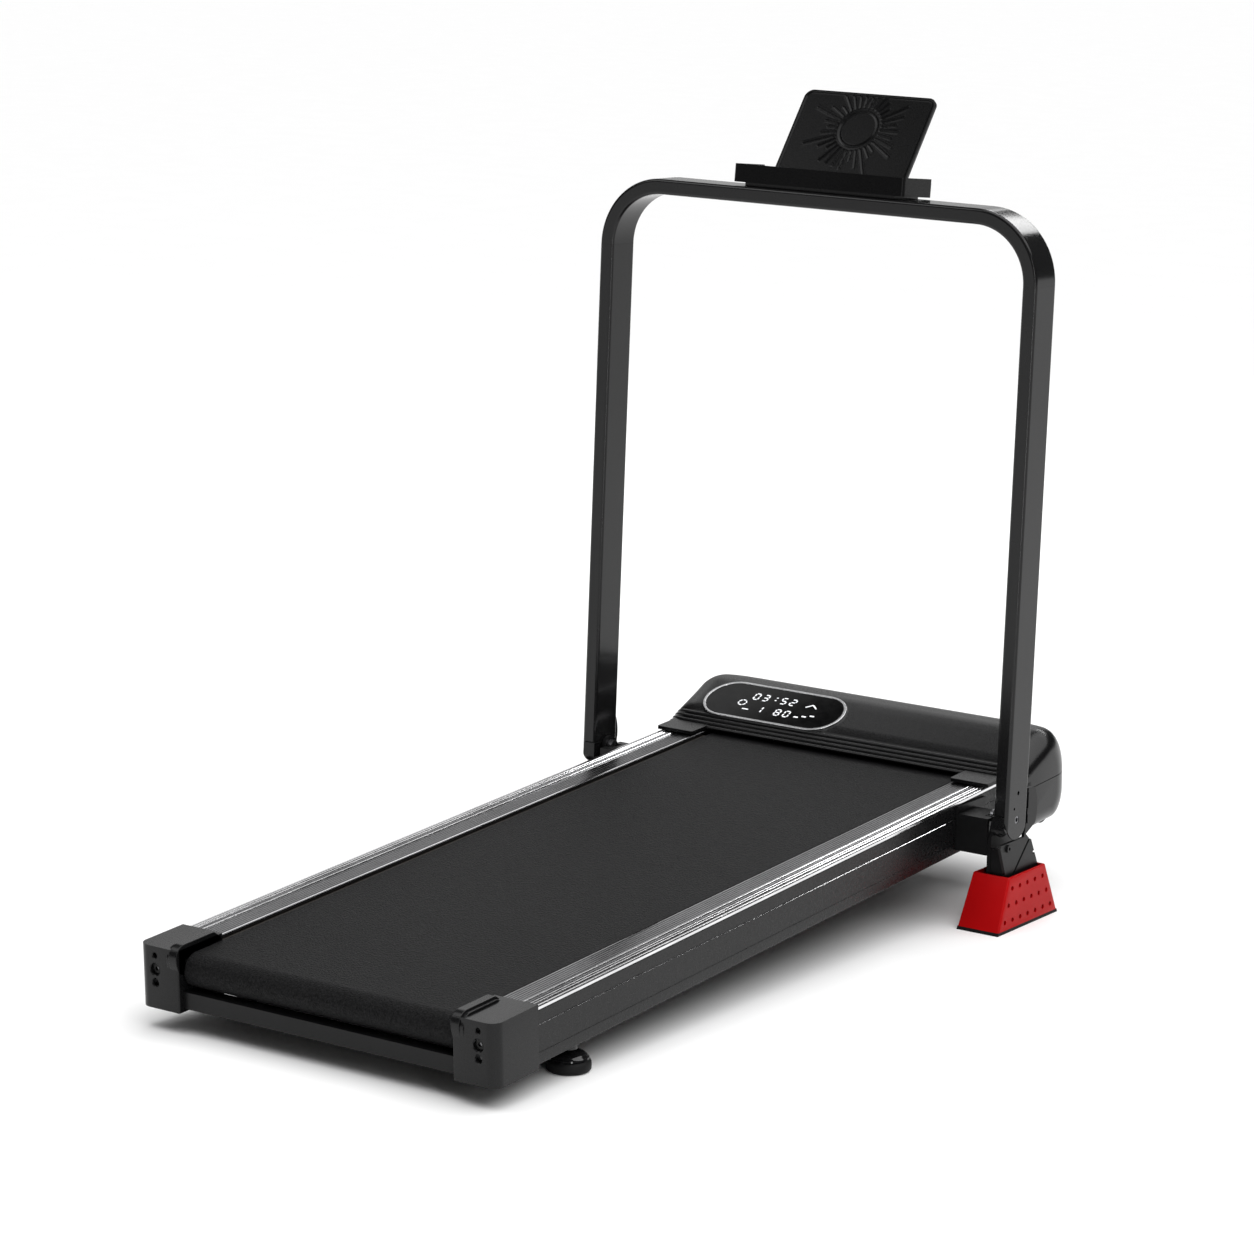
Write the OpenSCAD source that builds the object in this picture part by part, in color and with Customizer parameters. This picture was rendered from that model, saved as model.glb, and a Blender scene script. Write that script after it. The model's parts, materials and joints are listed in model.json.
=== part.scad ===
// Folding home treadmill: a low running deck on two rear levelling feet and two
// block feet, a motor bay at the front, and a U-shaped handrail with a tablet tray.
// +X is the runner's right, +Y points from the rear of the deck to the motor bay, +Z is up.

/* [Deck] */
// Rise of the deck towards the motor bay, in degrees
deck_tilt = 3.22; // [3:0.01:3.5]
// Height of the deck's underside above the floor at its rear end
deck_base = 26; // [24:1:28]
// Width over the two side rails
deck_w = 496; // [494:1:498]
// Width of one side rail, with its inner flange
rail_w = 51.5; // [50:0.5:53]
// Height of the side rail's top face above the deck's underside
rail_top = 70; // [70:0.5:71]
// Distance along the deck from its rear end to the front end of the side rails
rail_end = 1082; // [1070:1:1084]
// Width of the running belt
belt_w = 380; // [370:1:384]
// Thickness of the running belt
belt_t = 2; // [1.5:0.1:2.3]
// Radius of the two belt rollers
roller_r = 18; // [17:0.5:18]

/* [Motor bay] */
// Width of the motor cover
hood_w = 540; // [530:1:560]
// Distance along the deck from its rear end to the cover's front face
hood_front = 1248; // [1246:1:1260]
// Height of the cover's flat top above the deck's underside
hood_top = 118; // [116:1:124]
// Length of the display lens across the cover
display_l = 192; // [180:1:200]
// Depth of the display lens along the deck
display_d = 72; // [60:1:74]

/* [Handrail] */
// Width over the outer faces of the two uprights
handrail_w = 644; // [642:1:646]
// Height of the crossbar's top face above the fold pivots
handrail_rise = 754; // [700:1:800]
// Thickness of the flat tube, across the uprights
tube_t = 20; // [18:1:22]
// Depth of the flat tube, front to back
tube_d = 50; // [50:1:50]
// Outer radius of the two top bends
bend_r = 90; // [70:1:110]
// Forward lean of the uprights, in degrees
lean = 1.65; // [1:0.05:2]

/* [Feet] */
// Height of a block foot with its sole
foot_h = 68; // [66:1:70]
// Length of a block foot at the floor
foot_l = 151; // [145:1:160]
// Width of a block foot at the floor
foot_w = 59; // [58:1:62]
// Diameter of a levelling foot
pad_d = 51; // [45:1:54]

/* [Tablet holder] */
// Width of the tray
tray_w = 250; // [230:1:270]
// Depth of the tray, front to back
tray_d = 71; // [68:1:74]
// Width of the back panel
panel_w = 194; // [180:1:200]
// Length of the back panel from its hinge to its top edge
panel_l = 129; // [110:1:135]
// Backward lean of the open panel from the vertical, in degrees
panel_lean = 37; // [30:1:40]

/* [Hidden] */
$fn = 64;

black = "#1b1b1d";
charcoal = "#2c2d30";
steel = "#8d9197";
red = "#c01414";

// Side rails and deck
rail_x = deck_w / 2;
rail_wall = 2.5;
rail_bottom = 3;
rail_start = 6;
rail_box_x = rail_x - 33;
bead_r = 2.2;
belt_top = 66.5;
roller_w = belt_top - belt_t - roller_r;
rear_roller_v = 28;
front_roller_v = 1118;
axle_r = 5;
run_gap = 0.05;
board_t = 18;
board_top = belt_top - belt_t - 0.3;
ledge_w = 34;
cross_size = 20;
cross_w = 4;

// End caps
cap_in = 192.5;
cap_out = rail_x + 3;
cap_l = 78;
cap_h = 74;
cap_wall = 2.2;
cap_r = 10;
rib_x = 13;
rib_rise = 5;
rib_back = 3;
rib_r = 15;

// Motor bay
hood_bottom = -10;
hood_wall = 2.5;
hood_low_r = 40;
hood_high_r = 34;
hood_rear = 1096;
hood_corner = 36;
lip_v = 1076;
lip_w = 71.8;
step_v = 9;
seam_w = 54;
display_x = -135;
display_v = 1140;
motor_v = 1192;
motor_w = 52;
motor_r = 38;
roller_pulley_r = 28;
motor_pulley_r = 10;
pulley_x = 191;
pulley_t = 13;
cheek_x = 218;
inlet_x = -100;
inlet_w = 42;
switch_x = -144;
switch_v = 1241;
wheel_x = 232;
wheel_t = 18;
wheel_r = 22;
wheel_v = 1188;
wheel_w = 10;

// Handrail and legs
pivot_y = 989.5;
pivot_z = 136;
rail_out = handrail_w / 2;
tube_r = 4;
tube_wall = 1.5;
plate_t = 4;
inner_plate_x = 294;
inner_plate_t = 5;
bolt_r = 5;
seat_r = tube_d / 2 + 0.8;
foot_x = 304.5;
foot_y = 1006.5;
foot_top_l = 92;
foot_top_w = 52;
foot_wall = 3;
sole_t = 4;
level_x = 223;
level_v = 173;

// Tablet holder, in the handrail's own frame
tray_back = -19.5;
tray_base = handrail_rise + 5;
tray_tilt = 4;
tray_h = 23;
tray_wall = 3;
hinge_d = 30;
hinge_h = handrail_rise + 13;
hinge_r = 4;
pin_r = 2;

// Middle of the whole length, which is moved to Y = 0
rear_reach = (rib_r - rib_back) * cos(deck_tilt) - (cap_h + rib_rise - rib_r) * sin(deck_tilt) - rib_r;
front_reach = (hood_front - hood_low_r) * cos(deck_tilt)
    - (hood_bottom + hood_low_r) * sin(deck_tilt) + hood_low_r;
mid_y = (rear_reach + front_reach) / 2;

// Places its children in the sloping deck's frame: X, distance from the rear end, height
module deck_space() {
    translate([0, -mid_y, deck_base]) rotate([deck_tilt, 0, 0]) children();
}

// Places its children on the level floor, measured from the deck's rear end
module floor_space() {
    translate([0, -mid_y, 0]) children();
}

// Places its children in the leaning handrail's frame, with its origin on the fold axis
module handrail_space() {
    translate([0, pivot_y - mid_y, pivot_z]) rotate([-lean, 0, 0]) children();
}

// Mirrors its children to the left side when side is -1
module on_side(side) {
    if (side > 0) {
        children();
    } else {
        mirror([1, 0, 0]) children();
    }
}

// Extrudes an outline of Y and Z along X
module across(x0, x1) {
    translate([x0, 0, 0]) rotate([90, 0, 90]) linear_extrude(x1 - x0) children();
}

// Extrudes an outline of X and Z along Y
module along(y0, y1) {
    translate([0, y1, 0]) rotate([90, 0, 0]) linear_extrude(y1 - y0) children();
}

// A round bar along X
module bar(x0, x1, r, y = 0, z = 0) {
    translate([x0, y, z]) rotate([0, 90, 0]) cylinder(r = r, h = x1 - x0);
}

// A box given by its two opposite corners
module block(low, high) {
    translate(low) cube(high - low);
}

module rounded_rect(w, h, r) {
    square([w - 2 * r, h], center = true);
    square([w, h - 2 * r], center = true);
    for (sx = [-1, 1], sy = [-1, 1]) {
        translate([sx * (w / 2 - r), sy * (h / 2 - r)]) circle(r);
    }
}

module rail_profile() {
    groove = 0.7;
    difference() {
        union() {
            translate([rail_box_x, rail_bottom]) square([rail_x - rail_box_x, rail_top - rail_bottom]);
            translate([rail_x - rail_w, rail_top - 3.5]) square([rail_w - 20, 3.5]);
            translate([198, ledge_w]) square([rail_box_x - 197, 3]);
            for (i = [0:2]) {
                translate([rail_x - 5 - 6.5 * i, rail_top - 1]) circle(bead_r, $fn = 32);
            }
        }
        translate([rail_box_x + rail_wall, rail_bottom + rail_wall])
            square([rail_x - rail_box_x - 2 * rail_wall, rail_top - rail_bottom - 2 * rail_wall - 1]);
        for (i = [0:5]) {
            translate([rail_x - rail_w + 4 + 4 * i, rail_top - groove]) square([groove, 2 * groove]);
        }
        translate([rail_x - 0.8, 49]) square([2, 2]);
    }
}

module side_rail(side) {
    color(charcoal) deck_space() on_side(side) difference() {
        along(rail_start, rail_end) rail_profile();
        // Slot in the inner wall for the rear axle
        block([rail_box_x - 1, 4, roller_w - 8], [rail_box_x + rail_wall + 1, 52, roller_w + 8]);
        // The ledge stops short of the rollers
        block([197, 4, ledge_w - 1], [rail_box_x, 60, ledge_w + 4]);
        block([197, 1068, ledge_w - 1], [rail_box_x, rail_end + 1, ledge_w + 4]);
        translate([level_x, level_v, 0]) cylinder(r = 6, h = 20);
    }
}

module side_rail_left() {
    side_rail(-1);
}

module side_rail_right() {
    side_rail(1);
}

module cross_tube(v) {
    inner = cross_size - 3;
    across(-rail_box_x + 0.2, rail_box_x - 0.2) difference() {
        translate([v, cross_w]) square([cross_size, cross_size]);
        translate([v + 1.5, cross_w + 1.5]) square([inner, inner]);
    }
}

module rear_cross_tube() {
    color(black) deck_space() cross_tube(8);
}

module support_tubes() {
    color(black) deck_space() {
        cross_tube(520);
        cross_tube(1000);
    }
}

module deck_board() {
    color("#5a4632") deck_space()
        block([-212, 58, board_top - board_t], [212, 1072, board_top]);
}

module deck_cushions() {
    low = ledge_w + 3;
    high = board_top - board_t;
    color(black) deck_space() for (side = [-1, 1], v = [120:175:995]) {
        translate([side * 205, v, low]) cylinder(r = 6, h = high - low);
    }
}

module running_belt() {
    span = front_roller_v - rear_roller_v;
    outer = roller_r + belt_t;
    inner = roller_r + 0.3;
    color(black) deck_space() across(-belt_w / 2, belt_w / 2)
        translate([rear_roller_v + span / 2, roller_w]) difference() {
            rounded_rect(span + 2 * outer, 2 * outer, outer - 0.02);
            rounded_rect(span + 2 * inner, 2 * inner, inner - 0.02);
        }
}

// A steel belt roller: a tube with a bored plug in each end
module roller(v) {
    plug = 14;
    difference() {
        bar(-188, 188, roller_r, v, roller_w);
        bar(-188 + plug, 188 - plug, roller_r - 2.5, v, roller_w);
        bar(-189, 189, axle_r + run_gap, v, roller_w);
    }
}

module rear_roller() {
    color(steel) deck_space() roller(rear_roller_v);
}

module rear_axle() {
    color(steel) deck_space() difference() {
        bar(-236, 236, axle_r, rear_roller_v, roller_w);
        for (side = [-1, 1]) {
            translate([side * 227, 0, roller_w]) rotate([-90, 0, 0]) cylinder(r = 3.1, h = 60);
        }
    }
}

module tension_bolts() {
    color(steel) deck_space() for (side = [-1, 1]) {
        translate([side * 227, 0, roller_w]) rotate([-90, 0, 0]) {
            translate([0, 0, 8]) cylinder(r = 3, h = 50);
            translate([0, 0, 4]) difference() {
                cylinder(r = 5.5, h = 4.5);
                translate([0, 0, -1]) cylinder(r = 2.8, h = 3.5, $fn = 6);
            }
        }
    }
}

// Solid outer shape of an end cap, rounded at its rear and outer edges
module cap_shape() {
    reach = 40;
    mid_x = (cap_in + cap_out - reach) / 2;
    intersection() {
        across(cap_in, cap_out) translate([(cap_l + reach) / 2, cap_h / 2])
            rounded_rect(cap_l + reach, cap_h, cap_r);
        along(-1, cap_l + reach) translate([mid_x, cap_h / 2])
            rounded_rect(cap_out - cap_in + reach, cap_h, 7);
        translate([mid_x, (cap_l + reach) / 2, -1]) linear_extrude(cap_h + 2)
            rounded_rect(cap_out - cap_in + reach, cap_l + reach, cap_r);
        block([0, -1, -1], [cap_out, cap_l, cap_h + 1]);
    }
}

module end_cap(side) {
    rib_v = rib_back + cap_l + 40;
    color(black) deck_space() on_side(side) difference() {
        union() {
            cap_shape();
            intersection() {
                across(cap_in, cap_in + rib_x) translate([rib_v / 2 - rib_back, (cap_h + rib_rise) / 2])
                    rounded_rect(rib_v, cap_h + rib_rise, rib_r);
                block([0, -rib_back - 1, -1], [cap_out, cap_l, cap_h + rib_rise + 1]);
            }
        }
        // Hollow for the rail's end
        block([cap_in + cap_wall, rail_start - 1, rail_bottom - 0.4],
            [rail_x + 0.4, cap_l + 1, rail_top + 1.6]);
        // Inner wall: openings for the cross tube, the axle and the rail's flange and ledge
        block([cap_in - 1, 7, cross_w - 0.5], [cap_in + 4, 29, cross_w + cross_size + 0.5]);
        bar(cap_in - 1, cap_in + 4, roller_r + belt_t + 1.5, rear_roller_v, roller_w);
        block([cap_in - 1, rear_roller_v, roller_w - 8], [cap_in + 4, cap_l + 1, board_top + 1]);
        // Access holes in the rear face
        for (hole = [[63, 3], [roller_w, 7], [31, 4.5]]) {
            translate([227, -rib_back - 1, hole[0]]) rotate([-90, 0, 0]) cylinder(r = hole[1], h = 9);
        }
    }
}

module end_cap_left() {
    end_cap(-1);
}

module end_cap_right() {
    end_cap(1);
}

module motor_tray() {
    color(steel) deck_space() {
        difference() {
            union() {
                block([-cheek_x - 3, 1100, -4], [cheek_x + 3, 1218, -1.5]);
                for (side = [-1, 1]) {
                    on_side(side) block([cheek_x, 1040, 8], [cheek_x + 3, 1140, 60]);
                    on_side(side) block([cheek_x, 1100, -2], [cheek_x + 3, 1218, 20]);
                }
            }
            bar(-cheek_x - 9, cheek_x + 9, axle_r + 0.1, front_roller_v, roller_w);
        }
        // Saddle under the motor
        difference() {
            block([40, motor_v - 30, -2], [130, motor_v + 30, 30]);
            bar(30, 140, motor_r + 0.3, motor_v, motor_w);
        }
    }
}

module front_roller() {
    color(steel) deck_space() roller(front_roller_v);
}

module front_axle() {
    color(steel) deck_space() bar(-cheek_x - 6, cheek_x + 6, axle_r, front_roller_v, roller_w);
}

// A ribbed pulley with its grooves cut round the rim
module pulley(r, bore, v, w) {
    grooves = 5;
    pitch = (pulley_t - 3) / grooves;
    translate([pulley_x, v, w]) rotate([0, 90, 0]) difference() {
        cylinder(r = r, h = pulley_t);
        translate([0, 0, -1]) cylinder(r = bore, h = pulley_t + 2);
        for (i = [0:grooves - 1]) {
            translate([0, 0, 1.5 + (i + 0.25) * pitch]) difference() {
                cylinder(r = r + 1, h = pitch / 2);
                cylinder(r = r - 1, h = pitch / 2);
            }
        }
    }
}

module roller_pulley() {
    color(black) deck_space() {
        pulley(roller_pulley_r, axle_r + 0.3, front_roller_v, roller_w);
        // Hub that joins the pulley to the roller's end
        difference() {
            bar(188, pulley_x + 1, 12, front_roller_v, roller_w);
            bar(187, pulley_x + 2, axle_r + 0.3, front_roller_v, roller_w);
        }
    }
}

module motor_can() {
    length = 130;
    color(charcoal) deck_space() difference() {
        union() {
            bar(20, 20 + length, motor_r, motor_v, motor_w);
            bar(14, 26 + length, 14, motor_v, motor_w);
        }
        bar(10, 30 + length, axle_r + run_gap, motor_v, motor_w);
        bar(28, 12 + length, motor_r - 6, motor_v, motor_w);
    }
}

module motor_shaft() {
    color(steel) deck_space() {
        bar(-44, pulley_x + pulley_t + 2, axle_r, motor_v, motor_w);
        // Armature inside the can
        bar(36, 134, motor_r - 9, motor_v, motor_w);
    }
}

module motor_pulley() {
    color(steel) deck_space() pulley(motor_pulley_r, axle_r, motor_v, motor_w);
}

module flywheel() {
    color(steel) deck_space() difference() {
        bar(-6, 10, motor_r - 2, motor_v, motor_w);
        bar(-7, 11, axle_r, motor_v, motor_w);
        bar(-7, -1, motor_r - 10, motor_v, motor_w);
    }
}

module cooling_fan() {
    blades = 9;
    color(black) deck_space() translate([-30, motor_v, motor_w]) rotate([0, 90, 0]) difference() {
        union() {
            cylinder(r = 12, h = 14);
            for (i = [0:blades - 1]) {
                rotate([0, 0, i * 360 / blades]) translate([10, -1, 0]) cube([22, 2, 13]);
            }
        }
        translate([0, 0, -1]) cylinder(r = axle_r, h = 16);
    }
}

// Outline around both pulleys, clear of their rims by gap
module drive_belt_outline(gap) {
    hull() {
        translate([front_roller_v, roller_w]) circle(roller_pulley_r + gap);
        translate([motor_v, motor_w]) circle(motor_pulley_r + gap);
    }
}

module drive_belt() {
    color(black) deck_space() across(pulley_x + 1, pulley_x + pulley_t - 1) difference() {
        drive_belt_outline(2.6);
        drive_belt_outline(0.3);
    }
}

module control_board() {
    near = 1146;
    far = 1212;
    color("darkgreen") deck_space() {
        block([-205, near, 6], [-65, far, 7.6]);
        for (x = [-200, -70], v = [near + 5, far - 5]) {
            translate([x, v, -1.5]) cylinder(r = 2.5, h = 7.6);
        }
        for (i = [0:2]) {
            translate([-90, near + 15 + 18 * i, 7.6]) cylinder(r = 7, h = 24);
        }
        block([-130, near + 12, 7.6], [-108, far - 14, 22]);
    }
}

module heat_sink() {
    fins = 7;
    near = 1152;
    far = 1206;
    color(steel) deck_space() {
        block([-200, near, 8], [-145, far, 12]);
        for (i = [0:fins - 1]) {
            block([-200 + 8.8 * i, near, 11], [-197.8 + 8.8 * i, far, 34]);
        }
    }
}

// Outline of the bay along the deck: a flat top, a round nose and a stepped rear lip
module hood_profile(inset) {
    low = hood_bottom + inset;
    high = hood_top - inset;
    front = hood_front - inset;
    rear = hood_rear + inset;
    low_r = hood_low_r - inset;
    high_r = hood_high_r - inset;
    steps = 3;
    translate([rear, low + low_r]) square([front - high_r - rear, high - low - low_r]);
    translate([rear, low]) square([front - low_r - rear, high - low - high_r]);
    translate([rear, low + low_r]) square([front - rear, high - low - low_r - high_r]);
    translate([front - high_r, high - high_r]) circle(high_r);
    translate([front - low_r, low + low_r]) circle(low_r);
    for (i = [0:steps - 1]) {
        rise = (hood_top - lip_w - 6) / steps;
        translate([lip_v + step_v * i + inset, lip_w]) square([40, 6 + rise * i - inset]);
    }
}

module hood_shape(inset) {
    depth = hood_front - 1066;
    intersection() {
        across(-hood_w / 2 + inset, hood_w / 2 - inset) hood_profile(inset);
        along(1060, hood_front + 1) translate([0, (hood_top + hood_bottom) / 2])
            rounded_rect(hood_w - 2 * inset, hood_top - hood_bottom - 2 * inset, 30 - inset);
        translate([0, hood_front - depth / 2, hood_bottom - 1]) linear_extrude(hood_top - hood_bottom + 2)
            rounded_rect(hood_w - 2 * inset, depth - 2 * inset, hood_corner - inset);
    }
}

module hood_shell() {
    difference() {
        hood_shape(0);
        hood_shape(hood_wall);
    }
}

// Flat pill outline with its long side along X
module pill(l, d) {
    square([l - d, d], center = true);
    for (side = [-1, 1]) {
        translate([side * (l - d) / 2, 0]) circle(d / 2);
    }
}

module motor_cover() {
    color(black) deck_space() difference() {
        union() {
            intersection() {
                hood_shell();
                block([-300, 1060, seam_w + 0.2], [300, 1260, 140]);
            }
            // Lugs that overlap the front ends of the side rails
            for (side = [-1, 1]) {
                on_side(side) block([rail_x - rail_w, 1042, lip_w], [rail_x + 4, 1092, lip_w + 5]);
            }
        }
        block([-rail_x - 3, 1060, 0], [rail_x + 3, hood_rear + 4, lip_w]);
        translate([display_x, display_v, hood_top - 5])
            linear_extrude(10) pill(display_l - 8, display_d - 8);
    }
}

module lower_pan() {
    color(black) deck_space() difference() {
        intersection() {
            hood_shell();
            block([-300, 1060, -30], [300, 1260, seam_w]);
        }
        // Rear opening for the belt and the tray's arms
        block([-rail_x, 1060, 5], [rail_x, hood_rear + 4, 80]);
        // Wells for the transport wheels
        for (side = [-1, 1]) {
            on_side(side) block([wheel_x - 2, wheel_v - wheel_r - 2, -20],
                [wheel_x + wheel_t + 2, wheel_v + wheel_r + 2, 2]);
        }
        // Cut-outs for the power inlet and the switch
        block([inlet_x - 14, 1240, inlet_w - 10], [inlet_x + 14, 1260, inlet_w + 10]);
        block([switch_x - 10, 1240, inlet_w - 10], [switch_x + 10, 1260, inlet_w + 10]);
    }
}

module display_bezel() {
    color(steel) deck_space() translate([display_x, display_v, hood_top]) difference() {
        linear_extrude(2.2) pill(display_l + 3, display_d + 3);
        translate([0, 0, -1]) linear_extrude(5) pill(display_l, display_d);
    }
}

module display_lens() {
    color("black") deck_space() translate([display_x, display_v, hood_top + 0.1])
        linear_extrude(2.6) pill(display_l - 0.4, display_d - 0.4);
}

module display_board() {
    color("darkgreen") deck_space() translate([display_x, display_v, hood_top - 8])
        linear_extrude(1.6) pill(display_l - 16, display_d - 16);
}

module power_inlet() {
    color(black) deck_space() translate([inlet_x, 0, inlet_w]) difference() {
        union() {
            block([-13.7, 1222, -9.7], [13.7, 1247, 9.7]);
            block([-17, 1242.2, -11.5], [17, 1245.2, 11.5]);
        }
        // Socket with its three contact pins
        difference() {
            block([-10.5, 1230, -6.5], [10.5, 1250, 6.5]);
            for (i = [-1:1]) {
                translate([6 * i, 1229, i == 0 ? 2 : -1]) rotate([-90, 0, 0])
                    cylinder(r = 1.2, h = 14, $fn = 24);
            }
        }
    }
}

// Side outline of the rocker, on its pivot: a round back and a face with two slopes
module rocker_outline() {
    intersection() {
        circle(r = 8.8);
        polygon([[-9, -8.2], [5, -8.2], [3.4, 0], [2.4, 8.2], [-9, 8.2]]);
    }
}

module power_switch() {
    color(black) deck_space() translate([switch_x, switch_v, inlet_w]) difference() {
        across(-8.6, 8.6) rocker_outline();
        bar(-9, 9, 1.5 + run_gap);
    }
}

module switch_housing() {
    color(black) deck_space() translate([switch_x, 0, inlet_w]) {
        difference() {
            union() {
                block([-9.8, 1226, -9.8], [9.8, 1247, 9.8]);
                block([-12, 1242.2, -11.5], [12, 1245.2, 11.5]);
            }
            block([-8.9, 1229, -9.1], [8.9, 1250, 9.1]);
        }
        bar(-9, 9, 1.5, switch_v, 0);
    }
}

module wheel_forks() {
    color(steel) deck_space() for (side = [-1, 1]) {
        on_side(side) difference() {
            union() {
                for (x = [wheel_x - 4, wheel_x + wheel_t + 1]) {
                    across(x, x + 3) union() {
                        translate([wheel_v, wheel_w]) circle(11);
                        translate([wheel_v - 11, wheel_w]) square([22, 30]);
                    }
                }
                block([cheek_x + 3, wheel_v - 11, wheel_w + 27],
                    [wheel_x + wheel_t + 4, wheel_v + 11, wheel_w + 30]);
                block([cheek_x + 3, wheel_v - 11, 4], [cheek_x + 6, wheel_v + 11, wheel_w + 30]);
            }
            bar(wheel_x - 20, wheel_x + wheel_t + 9, 4.1, wheel_v, wheel_w);
        }
    }
}

module wheel_axles() {
    color(steel) deck_space() for (side = [-1, 1]) {
        on_side(side) bar(wheel_x - 7, wheel_x + wheel_t + 7, 4, wheel_v, wheel_w);
    }
}

module transport_wheel(side) {
    color(black) deck_space() on_side(side) difference() {
        bar(wheel_x, wheel_x + wheel_t - 0.5, wheel_r, wheel_v, wheel_w);
        bar(wheel_x - 1, wheel_x + wheel_t + 1, 4 + run_gap, wheel_v, wheel_w);
        for (x = [wheel_x - 1, wheel_x + wheel_t - 4]) {
            difference() {
                bar(x, x + 4, wheel_r - 5, wheel_v, wheel_w);
                bar(x - 1, x + 5, 8, wheel_v, wheel_w);
            }
        }
    }
}

module transport_wheel_left() {
    transport_wheel(-1);
}

module transport_wheel_right() {
    transport_wheel(1);
}

// Outer leg plate: a stop ear in front of the upright, a round seat under it, and a
// tongue and a gusset that run down into the block foot
module leg_outer_outline() {
    front_edge = pivot_y + seat_r;
    difference() {
        union() {
            // Ear
            intersection() {
                translate([pivot_y, pivot_z + 7]) circle(51);
                polygon([
                    [front_edge + 1.4, 171.5], [1026, 171.5], [1052, 160], [1052, 124],
                    [1038, 124], [1014, 113], [front_edge - 8, 100], [front_edge + 0.2, pivot_z]
                ]);
            }
            // Tongue and gusset
            polygon([
                [953, pivot_z - tube_d / 2 - 1.2], [950.5, 106], [965.5, 70], [964, 12],
                [1049, 12], [1049, 64], [1028.5, 103], [1023, 106], [1014, 113],
                [1012, pivot_z - tube_d / 2 - 1.2]
            ]);
        }
        translate([pivot_y, pivot_z]) circle(seat_r);
        // Diagonal gap between the tongue and the gusset
        translate([1004, 86]) rotate(45) square([58, 3.4], center = true);
        // Slots beside the upright's front edge
        translate([front_edge - 1, 145]) square([3.2, 21]);
        translate([front_edge - 1, 126]) square([2.6, 12]);
        translate([1036, 85]) circle(2.6);
    }
}

module leg(side) {
    color(charcoal) floor_space() on_side(side) {
        difference() {
            union() {
                across(rail_out - plate_t, rail_out) leg_outer_outline();
                across(inner_plate_x, inner_plate_x + inner_plate_t) union() {
                    translate([pivot_y, pivot_z]) circle(13);
                    polygon([
                        [pivot_y - 13, pivot_z], [967, 112], [967, 12],
                        [1038, 12], [1034, 96], [pivot_y + 13, pivot_z]
                    ]);
                }
                block([inner_plate_x, 968, 12], [rail_out, 971, 100]);
                block([foot_x - 23, 957, sole_t + 4.2], [rail_out + 2, 1056, 12.2]);
            }
            bar(inner_plate_x - 1, inner_plate_x + inner_plate_t + 1, bolt_r + 0.05, pivot_y, pivot_z);
            bar(rail_out - plate_t - 1, rail_out + 1, 3.2, 969.5, 103);
            foot_bolt_places() cylinder(r = 3.3, h = 20);
        }
        // Screw head near the tongue's upper rear corner
        difference() {
            bar(rail_out - plate_t, rail_out + 2.5, 5, 969.5, 103);
            bar(rail_out, rail_out + 3, 2.2, 969.5, 103);
        }
    }
}

module leg_left() {
    leg(-1);
}

module leg_right() {
    leg(1);
}

// Bent bracket that joins the leg to the side rail
module link(side) {
    color(black) floor_space() on_side(side) difference() {
        union() {
            block([rail_x + 0.3, 966, 90], [inner_plate_x - 0.1, 970, 137]);
            block([rail_x + 0.3, 966, 133], [inner_plate_x - 0.1, 1012, 137]);
            block([rail_x + 0.3, 966, 90], [inner_plate_x - 0.1, 1012, 94]);
            block([rail_x + 0.3, 966, 90], [rail_x + 3.3, 1034, 146]);
        }
        bar(inner_plate_x - 12, inner_plate_x + 1, 10.5, pivot_y, pivot_z);
    }
}

module link_left() {
    link(-1);
}

module link_right() {
    link(1);
}

// Puts its children at the four bolts of a block foot
module foot_bolt_places() {
    for (x = [-17, 4], y = [-28.5, 33.5]) {
        translate([foot_x + x, foot_y + y, 0]) children();
    }
}

// Tapered block between two heights, shrunk by inset on its four sides
module foot_taper(z0, z1, inset) {
    half_l = function (z) (foot_l - (foot_l - foot_top_l) * z / foot_h) / 2 - inset;
    half_w = function (z) (foot_w - (foot_w - foot_top_w) * z / foot_h) / 2 - inset;
    intersection() {
        across(foot_x - foot_w, foot_x + foot_w) polygon([
            [foot_y - half_l(z0), z0], [foot_y + half_l(z0), z0],
            [foot_y + half_l(z1), z1], [foot_y - half_l(z1), z1]
        ]);
        along(foot_y - foot_l, foot_y + foot_l) polygon([
            [foot_x - half_w(z0), z0], [foot_x + half_w(z0), z0],
            [foot_x + half_w(z1), z1], [foot_x - half_w(z1), z1]
        ]);
    }
}

module foot(side) {
    // Rows of round holes in the outer face: height, number of holes
    rows = [[54, 5], [34, 6], [14, 7]];
    hole_pitch = 19;
    color(red) floor_space() on_side(side) difference() {
        foot_taper(sole_t, foot_h, 0);
        foot_taper(sole_t + 4, foot_h + 1, foot_wall);
        for (row = rows, i = [0:row[1] - 1]) {
            bar(foot_x + 15, foot_x + 40, 2.6, foot_y + hole_pitch * (i - (row[1] - 1) / 2), row[0]);
        }
        foot_bolt_places() cylinder(r = 3.3, h = 20);
    }
}

module foot_left() {
    foot(-1);
}

module foot_right() {
    foot(1);
}

module sole(side) {
    color("black") floor_space() on_side(side) difference() {
        foot_taper(0, sole_t, 0);
        foot_bolt_places() translate([0, 0, -1]) cylinder(r = 6.5, h = 20);
    }
}

module sole_left() {
    sole(-1);
}

module sole_right() {
    sole(1);
}

module foot_bolts() {
    color(steel) floor_space() for (side = [-1, 1]) {
        on_side(side) foot_bolt_places() {
            translate([0, 0, 1]) cylinder(r = 5.5, h = sole_t - 1.1);
            translate([0, 0, sole_t - 2]) cylinder(r = 3, h = 18);
            translate([0, 0, 12.3]) cylinder(r = 5.5, h = 5, $fn = 6);
        }
    }
}

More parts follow.
